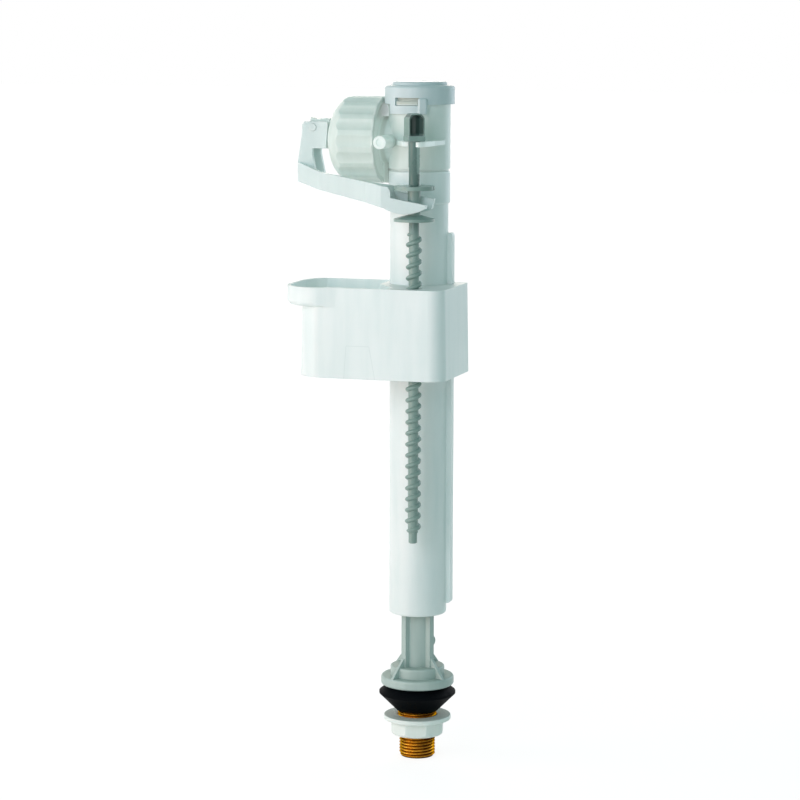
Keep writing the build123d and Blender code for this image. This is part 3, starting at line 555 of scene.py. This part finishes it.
screw_grey = finishes["screw_plastic"]
screw_rise = screw_grey.coordinate("Z")
on_rod = screw_grey.step_down(screw_grey.off_axis(), *ROD_EDGE)
painted_rod_shade = screw_grey.step_up(screw_rise, *ROD_SHADE_FROM) * on_rod
rod_one_side = screw_grey.step_up(screw_grey.coordinate("X"), *ROD_ONE_SIDE)
painted_rod_highlight = rod_one_side * screw_grey.step_up(screw_rise, *ROD_HIGHLIGHT_FROM) * on_rod
# Painted shade: the rod above the collar is painted darker.
screw_grey.repaint(painted_rod_shade * 0.75, ROD_SHADE)
# Painted highlight: one side of the rod under the head is painted pale.
screw_grey.repaint(painted_rod_highlight * 0.8, ROD_HIGHLIGHT)
print("the rod is darker above the collar")

# %% [markdown]
# Rubber is the opposite of the plastics: nearly black and dull, with a bloom of
# paler dust in patches and fine pores from its mould.

# %% Rubber
BLOOMS_PER_METRE = 140.0
PORES_PER_METRE = 3000.0
BLOOM_EDGE = (0.45, 0.75)
PORE_DEPTH = 0.06 * MM
RUBBER_ROUND = 0.4 * MM
RUBBER_BLACK = paint(2, 5, 8)
RUBBER_BLOOM = paint(7, 12, 16)

rubber = Finish("rubber")
bloom = rubber.step_up(rubber.noise(BLOOMS_PER_METRE, detail=5.0), *BLOOM_EDGE)
pores = rubber.noise(PORES_PER_METRE)
rubber.coat(
    Base_Color=rubber.mix(bloom * 0.5, RUBBER_BLACK, RUBBER_BLOOM),
    Roughness=0.58 + bloom * 0.16,
    Normal=rubber.bump(pores, PORE_DEPTH, rubber.soft_edges(RUBBER_ROUND)),
    Specular_IOR_Level=0.04,
)
finishes["rubber"] = rubber
print("rubber is mixed")

# %% [markdown]
# The tail is plain brass, turned and thread-cut. Its crests are bright, its
# roots are painted dark, a painted shade with a brown tarnish in it, and faint
# rings from the lathe run round it. Its right side is painted darker in
# patches, a painted shade. Crest and root are told apart by their distance
# from the axis. The shank inside the nut is thicker than the tail, so its own
# radius counts there.

# %% Brass
TAIL_RADIUS = 10.4775 * MM
SHANK_RADIUS = 11.45 * MM
THREAD_DEPTH = 1.16 * MM
CREST_FLANK = (TAIL_RADIUS - THREAD_DEPTH, TAIL_RADIUS - 0.45 * THREAD_DEPTH)
SHANK_STEP = 0.3 * MM
SHADED_SIDE = (1.5 * MM, 9.0 * MM)
PATCHES_PER_METRE = 260.0
PATCH_EDGE = (0.4, 0.75)
RINGS_PER_METRE = 900.0
CLOSE_UPRIGHT = (0.05, 0.05, 8.0)
RING_DEPTH = 0.03 * MM
BRASS_ROUND = 0.08 * MM
BRASS_GLANCE = (0.62, 0.42, 0.2, 1.0)
BRIGHT_BRASS = paint(212, 162, 58)
TARNISH = paint(146, 98, 32)
# Painted shade colour for the right side.
SIDE_SHADE = paint(92, 60, 26)
# Painted shade with brown tarnish for the thread roots.
ROOT_SHADE_AND_TARNISH = paint(66, 38, 14)
nut_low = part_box("back_nut")[0].z

brass = Finish("brass")
tarnish = brass.step_up(brass.noise(PATCHES_PER_METRE, detail=5.0), *PATCH_EDGE)
rings = brass.noise(RINGS_PER_METRE, detail=2.0, stretch=CLOSE_UPRIGHT)
on_shank = brass.step_up(brass.coordinate("Z"), nut_low - SHANK_STEP, nut_low)
crest = brass.step_up(brass.off_axis() - on_shank * (SHANK_RADIUS - TAIL_RADIUS), *CREST_FLANK)
metal = brass.mix(tarnish * 0.5, BRIGHT_BRASS, TARNISH)
# Painted shade: the right side is painted darker, in patches.
painted_side_shade = brass.step_up(brass.coordinate("X"), *SHADED_SIDE) * (0.5 + tarnish * 0.3)
side_shaded_metal = brass.mix(painted_side_shade, metal, SIDE_SHADE)
brass.coat(
    # Painted shade with tarnish in the roots, bright brass on the crests.
    Base_Color=brass.mix(crest, ROOT_SHADE_AND_TARNISH, side_shaded_metal),
    Metallic=1.0,
    Specular_Tint=BRASS_GLANCE,
    Roughness=0.48 - crest * 0.24 + tarnish * 0.12,
    Normal=brass.bump(rings, RING_DEPTH, brass.soft_edges(BRASS_ROUND)),
)
finishes["brass"] = brass
print("brass is mixed")

# %% [markdown]
# Two pieces carry real screw threads, which the frame shows as plain rods. A
# thread could be a bump in the material, but its outline shows against the
# light, so it is cut as geometry. The rows of the mesh follow the helix, so
# each ridge is smooth along its length, and rows past either end are pressed
# flat onto it and merged. The ridges shrink to nothing near both ends.

# %% Helper for threaded walls
MERGE_WITHIN = 1e-7
SAME_HEIGHT = 1e-6
SAME_RADIUS = 1e-5


def open_ring(mesh, radius, z):
    """The open edge at this radius and height, in order round Z."""
    ring = []
    for v in mesh.verts:
        at_height = abs(v.co.z - z) < SAME_HEIGHT
        at_radius = abs(v.co.xy.length - radius) < SAME_RADIUS
        if v.is_boundary and at_height and at_radius:
            ring.append(v)
    return sorted(ring, key=lambda v: atan2(v.co.y, v.co.x) % tau)


def thread_rings(mesh, pitch, root, crest, low, high, ridge, steps, rows, fade):
    """Adds a threaded wall round Z and returns its lowest and highest ring."""
    count = int((high - low) / pitch * rows) + rows * 2
    grid = {}
    for row in range(-rows, count + rows + 1):
        for step in range(steps):
            height = low + (row / rows + step / steps) * pitch
            z = min(max(height, low), high)
            phase = (z - low) / pitch - step / steps
            ends = min((z - low) / fade, (high - z) / fade, 1.0)
            r = root + (crest - root) * ridge(phase - floor(phase)) * ends
            angle = tau * step / steps
            grid[row, step] = mesh.verts.new((r * cos(angle), r * sin(angle), z))
    for row in range(-rows, count):
        for step in range(steps):
            after = (row, step + 1) if step + 1 < steps else (row + rows, 0)
            above = (row + 1, step + 1) if step + 1 < steps else (row + 1 + rows, 0)
            mesh.faces.new([grid[row, step], grid[after], grid[above], grid[row + 1, step]])
    bmesh.ops.remove_doubles(mesh, verts=list(mesh.verts), dist=MERGE_WITHIN)
    loose = [v for v in mesh.verts if not v.link_faces]
    bmesh.ops.delete(mesh, geom=loose, context="VERTS")
    return open_ring(mesh, root, low), open_ring(mesh, root, high)


print("threads can be cut")

# %% [markdown]
# The plain parts beside a thread are turned, as on a lathe. A Screw modifier
# could do that, but the ring that they start from is already in the mesh, and
# new rings with the same number of steps join it without a seam.

# %% Helpers for turned parts
def bridge(mesh, first, second):
    """Faces between two rings with the same number of steps."""
    for i in range(len(first)):
        k = (i + 1) % len(first)
        mesh.faces.new((first[i], first[k], second[k], second[i]))


def lathe(mesh, ring, profile):
    """Adds a ring at each radius and height of a profile and returns the last one."""
    for r, z in profile:
        made = []
        for v in ring:
            angle = atan2(v.co.y, v.co.x)
            made.append(mesh.verts.new((r * cos(angle), r * sin(angle), z)))
        bridge(mesh, ring, made)
        ring = made
    return ring


print("plain parts can be turned")

# %% [markdown]
# Each finished mesh becomes a piece of the scene in the same way. It is smooth
# where its faces meet at a small angle and sharp at its real edges. It rides on
# one of the valve's bodies, and takes the place of a node where it has one.

# %% Helper that hands a piece over
SMOOTH_BELOW = radians(38)


def piece_from(mesh, name, finish, body, node, place=(0.0, 0.0, 0.0)):
    """Turns a mesh into a piece that rides on a body, in a node's stead if one is named."""
    bmesh.ops.recalc_face_normals(mesh, faces=list(mesh.faces))
    for face in mesh.faces:
        face.smooth = True
    data = bpy.data.meshes.new(name)
    mesh.to_mesh(data)
    mesh.free()
    data.set_sharp_from_angle(angle=SMOOTH_BELOW)
    made = bpy.data.objects.new(name, data)
    made.location = place
    bpy.context.scene.collection.objects.link(made)
    data.materials.append(finish.material)
    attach(made, body)
    if node:
        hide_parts(node)
    print(name, "has", len(data.polygons), "faces")


print("pieces can be handed over")

# %% [markdown]
# The brass tail has a pipe thread with rounded crests, 14 turns to the inch.
# The shank above it, inside the nut and the rubber cone, is a little thicker
# and carries the same thread. A bore runs through both.

# %% Brass tail
TAIL_PITCH = 1.814 * MM
TAIL_BORE = 7.0 * MM
TAIL_BEVEL = 0.5 * MM
SHANK_PLAIN = 1.0 * MM
PIPE_CREST_POWER = 0.7
PIPE_ROOT_POWER = 3
tail_low, tail_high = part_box("threaded_tail")
cone_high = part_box("cone_washer")[1].z


def pipe_ridge(phase):
    """Height of a pipe thread across one pitch, from root 0 to crest 1."""
    wave = -cos(tau * phase)
    if wave > 0:
        return 0.5 + 0.5 * wave ** PIPE_CREST_POWER
    return 0.5 - 0.5 * (-wave) ** PIPE_ROOT_POWER


pipe_cut = {"ridge": pipe_ridge, "steps": 96, "rows": 8, "fade": 0.6 * MM}
tail_root = TAIL_RADIUS - THREAD_DEPTH
shank_root = SHANK_RADIUS - THREAD_DEPTH
mesh = bmesh.new()
shank_foot, shank_head = thread_rings(
    mesh, TAIL_PITCH, shank_root, SHANK_RADIUS, nut_low, cone_high - SHANK_PLAIN, **pipe_cut)
tail_foot, tail_head = thread_rings(
    mesh, TAIL_PITCH, tail_root, TAIL_RADIUS, tail_low.z + TAIL_BEVEL, nut_low, **pipe_cut)
bridge(mesh, tail_head, shank_foot)
tail_profile = [
    (SHANK_RADIUS, cone_high),
    (SHANK_RADIUS, tail_high.z),
    (TAIL_BORE, tail_high.z),
    (TAIL_BORE, tail_low.z),
    (tail_root, tail_low.z),
]
bridge(mesh, lathe(mesh, shank_head, tail_profile), tail_foot)
piece_from(mesh, "brass_tail", finishes["brass"], "stem", "threaded_tail")

# %% [markdown]
# The adjusting screw is one long moulding: a coarse right-handed screw below,
# a plain rod above it, and a small hood on top that fingers turn. Its thread
# is a rounded rib, wider at its foot, with a long plain core between turns.
# Most heights are measured from the lift collar, which the screw carries.

# %% Adjusting screw
SCREW_LEAD = 6.3 * MM
SCREW_CORE = 2.9 * MM
SCREW_CREST = 4.6 * MM
NECK_RADIUS = 2.3 * MM
LOWER_ROD = 3.05 * MM
UPPER_ROD = 3.25 * MM
FOOT_RADIUS = 2.45 * MM
FOOT_BEVEL = 0.4 * MM
NECK_GAP = 0.1 * MM
SHOULDER_GAP = 0.3 * MM
LOWER_ROD_LENGTH = 10.2 * MM
THREAD_LENGTH = 171.0 * MM
THREAD_DROP = 6.3 * MM
RIB_HALF = 0.24
RIB_FLANK_POWER = 2.2
RIB_CREST_POWER = 0.8
PLATE_HEIGHT = 3.2 * MM
HOOD_HEIGHT = 12.3 * MM
screw_low, screw_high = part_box("adjusting_screw")
collar_low, collar_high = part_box("lift_collar")
thread_high = collar_low.z - THREAD_DROP
thread_low = thread_high - THREAD_LENGTH
rod_step = collar_high.z + LOWER_ROD_LENGTH
head_low = screw_high.z - HOOD_HEIGHT - PLATE_HEIGHT


def rib(phase):
    """Height of the screw's rounded rib across one lead."""
    off_middle = abs(phase - 0.5) / RIB_HALF
    if off_middle >= 1.0:
        return 0.0
    return (1.0 - off_middle ** RIB_FLANK_POWER) ** RIB_CREST_POWER


mesh = bmesh.new()
screw_foot, screw_head = thread_rings(
    mesh, SCREW_LEAD, SCREW_CORE, SCREW_CREST, thread_low, thread_high,
    ridge=rib, steps=48, rows=20, fade=2.0 * MM)
rod_profile = [
    (SCREW_CORE, collar_low.z - SHOULDER_GAP),
    (NECK_RADIUS, collar_low.z - NECK_GAP),
    (NECK_RADIUS, collar_high.z + NECK_GAP),
    (LOWER_ROD, collar_high.z + SHOULDER_GAP),
    (LOWER_ROD, rod_step),
    (UPPER_ROD, rod_step + SHOULDER_GAP),
    (UPPER_ROD, head_low),
]
foot_profile = [
    (FOOT_RADIUS, thread_low),
    (FOOT_RADIUS, screw_low.z + FOOT_BEVEL),
    (FOOT_RADIUS - FOOT_BEVEL, screw_low.z),
]
mesh.faces.new(lathe(mesh, screw_head, rod_profile))
mesh.faces.new(lathe(mesh, screw_foot, foot_profile))
print("the screw's thread runs from", round(thread_low, 4), "to", round(thread_high, 4))

# %% [markdown]
# The screw's head stands on a small plate with softened edges, and it is turned
# to the right. A cube that is scaled and bevelled is the shortest way to a
# plate, and one matrix turns it and everything that stands on it.

# %% Plate under the hood
HEAD_TURN = radians(37.0)
PLATE_SIZE = (10.2 * MM, 8.6 * MM, PLATE_HEIGHT)
PLATE_ROUND = 0.35 * MM

turned_head = Matrix.Translation((0.0, 0.0, head_low)) @ Matrix.Rotation(HEAD_TURN, 4, "Z")
plate = bmesh.ops.create_cube(mesh, size=1.0)["verts"]
bmesh.ops.scale(mesh, vec=PLATE_SIZE, verts=plate)
bmesh.ops.translate(mesh, vec=(0.0, 0.0, PLATE_HEIGHT / 2), verts=plate)
bmesh.ops.transform(mesh, matrix=turned_head, verts=plate)
plate_edges = {edge for v in plate for edge in v.link_edges}
bmesh.ops.bevel(mesh, geom=list(plate_edges), offset=PLATE_ROUND, segments=2, affect="EDGES")
print("the plate is on the rod")

# %% [markdown]
# The hood itself is a thin arch with a rounded pocket behind its open front. A
# Boolean could hollow it out, but it could leave ragged faces on such thin
# walls. Here the outside, the pocket and the rim between them are laid face by
# face.

# %% Hood of the screw
HOOD_HALF = 4.7 * MM
HOOD_DEPTH = 4.0 * MM
HOOD_WALL = 0.8 * MM
HOOD_CHAMFER = 2.6 * MM
POCKET_CHAMFER = 0.9 * HOOD_CHAMFER
CHAMFER_SLOPE = 1.25
POCKET_STEPS = 10
POCKET_POWER = 0.8
SCREW_PLACE = Vector((6.8 * MM, -33.0 * MM, 0.0))
inner_half = HOOD_HALF - HOOD_WALL
inner_rise = HOOD_HEIGHT - HOOD_WALL
pocket_reach = 2 * HOOD_DEPTH - HOOD_WALL
on_plate = turned_head @ Matrix.Translation((0.0, 0.0, PLATE_HEIGHT))


def pocket_top(x):
    """Height of the pocket's arch at a place across it."""
    return inner_rise - max(0.0, POCKET_CHAMFER - (inner_half - abs(x)) * CHAMFER_SLOPE)


def arch(y):
    """Outline of the hood at one depth, from its left foot over the top."""
    shoulder = HOOD_HALF - HOOD_CHAMFER / CHAMFER_SLOPE
    places = [(-HOOD_HALF, 0.0), (-HOOD_HALF, HOOD_HEIGHT - HOOD_CHAMFER), (-shoulder, HOOD_HEIGHT)]
    places += [(-x, z) for x, z in reversed(places)]
    return [(x, y, z) for x, z in places]


def corners_at(points):
    """New corners of the mesh at points given in the hood's own frame."""
    return [mesh.verts.new(on_plate @ Vector(p)) for p in points]


front = corners_at(arch(-HOOD_DEPTH))
back = corners_at(arch(HOOD_DEPTH))
plan = []
for i in range(POCKET_STEPS + 1):
    angle = pi * i / POCKET_STEPS
    plan.append((-inner_half * cos(angle), -HOOD_DEPTH + pocket_reach * sin(angle) ** POCKET_POWER))
pocket_low = corners_at([(x, y, 0.0) for x, y in plan])
pocket_high = corners_at([(x, y, pocket_top(x)) for x, y in plan])
rim_middle = corners_at([(x, -HOOD_DEPTH, pocket_top(x)) for x, y in plan[1:-1]])
rim = [pocket_high[0]] + rim_middle + [pocket_high[-1]]
for i in range(len(front) - 1):
    mesh.faces.new((front[i], front[i + 1], back[i + 1], back[i]))
mesh.faces.new(back)
for i in range(POCKET_STEPS):
    mesh.faces.new((pocket_low[i], pocket_low[i + 1], pocket_high[i + 1], pocket_high[i]))
    if 0 < i < POCKET_STEPS - 1:
        mesh.faces.new((pocket_high[i], pocket_high[i + 1], rim[i + 1], rim[i]))
mesh.faces.new((pocket_high[0], pocket_high[1], rim[1]))
mesh.faces.new((pocket_high[-2], pocket_high[-1], rim[-2]))
mesh.faces.new(front + [pocket_low[-1]] + rim[::-1] + [pocket_low[0]])
mesh.faces.new([front[0], back[0], back[-1], front[-1]] + pocket_low[::-1])
piece_from(mesh, "level_screw", screw_grey, "screw", "adjusting_screw", SCREW_PLACE)

# %% [markdown]
# The hood's pocket is painted darker, a painted shade.
# The mask turns with the head, and each of its sides fades inside a wall.

# %% Painted shade in the hood
POCKET_SHADE = paint(52, 74, 67)
hood_foot = head_low + PLATE_HEIGHT
hood_top = hood_foot + inner_rise
hood_back = HOOD_DEPTH - HOOD_WALL

facing_hood = {"Vector": screw_grey.place, "Angle": -HEAD_TURN}
in_hood = screw_grey.node("ShaderNodeVectorRotate", {"rotation_type": "Z_AXIS"}, facing_hood)
sideways = abs(screw_grey.coordinate("X", in_hood))
backward = screw_grey.coordinate("Y", in_hood)
upward = screw_grey.coordinate("Z", in_hood)
between_walls = screw_grey.step_down(sideways, inner_half + 0.1 * MM, inner_half + 0.4 * MM)
before_back = screw_grey.step_down(backward, hood_back + 0.2 * MM, hood_back + 0.5 * MM)
above_plate = screw_grey.step_up(upward, hood_foot + 0.3 * MM, hood_foot + 1.5 * MM)
under_arch = screw_grey.step_down(upward, hood_top + 0.1 * MM, hood_top + 0.4 * MM)
# Painted shade: the inside of the pocket is painted darker.
screw_grey.repaint(between_walls * before_back * above_plate * under_arch * 0.7, POCKET_SHADE)
print("painted_shade is in the pocket")

# %% [markdown]
# The cap nut's flutes stop just short of the barrel, at a plain ring that keeps
# the rim round. It could be turned from a profile with a Screw modifier, but a
# loop of five hoops is as short and leaves no modifier behind.

# %% Rim of the cap nut
RIM_FACES = 128
RIM_WIDTH = 1.1 * MM
RIM_DEPTH = 1.2 * MM
RIM_PROUD = 0.05 * MM
RIM_BEVEL = 0.2 * MM
nut_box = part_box("cap_nut")
nut_axis = (nut_box[0].z + nut_box[1].z) / 2
nut_radius = nut_box[1].y
rim_back = nut_box[1].x + RIM_PROUD
rim_front = rim_back - RIM_WIDTH
rim_profile = [
    (rim_front, nut_radius - RIM_DEPTH),
    (rim_front, nut_radius),
    (rim_back - RIM_BEVEL, nut_radius),
    (rim_back, nut_radius - RIM_BEVEL),
    (rim_back, nut_radius - RIM_DEPTH),
]

mesh = bmesh.new()
angles = [tau * i / RIM_FACES for i in range(RIM_FACES)]
hoops = []
for x, r in rim_profile:
    hoops.append([mesh.verts.new((x, r * cos(a), nut_axis + r * sin(a))) for a in angles])
for i in range(len(hoops)):
    bridge(mesh, hoops[i - 1], hoops[i])
piece_from(mesh, "cap_nut_rim", finishes["shaded_natural_plastic"], "valve", None)

# %% [markdown]
# Each CAD node takes the finish of the real piece. Only its material changes,
# since the frame's shapes are the measured ones.

# %% Finishes for the frame's own nodes
worn_by = {
    "white_plastic": ["outer_tube", "float_cup", "inlet_filter"],
    "cap_plastic": ["top_cap"],
    "natural_plastic": ["head_body", "inlet_elbow", "pilot_cover", "pilot_jet"],
    "shaded_natural_plastic": ["cap_nut"],
    "arm_plastic": ["lever_arm", "pivot_pin"],
    "grey_plastic": ["inlet_stem", "guide_bush", "riser_tube"],
    "screw_plastic": ["lift_collar", "adjusting_screw"],
    "ivory_plastic": ["back_nut", "seating_washer"],
    "rubber": ["cone_washer", "riser_seals", "diaphragm", "cap_seal", "pilot_pad"],
    "brass": ["threaded_tail"],
}
for finish_name, nodes in worn_by.items():
    for node in nodes:
        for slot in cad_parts[node].material_slots:
            slot.material = finishes[finish_name].material
print("finished", sum(len(nodes) for nodes in worn_by.values()), "nodes")

# %% [markdown]
# The last cell prints that the scene is dressed.

# %% End
print("the scene is dressed")
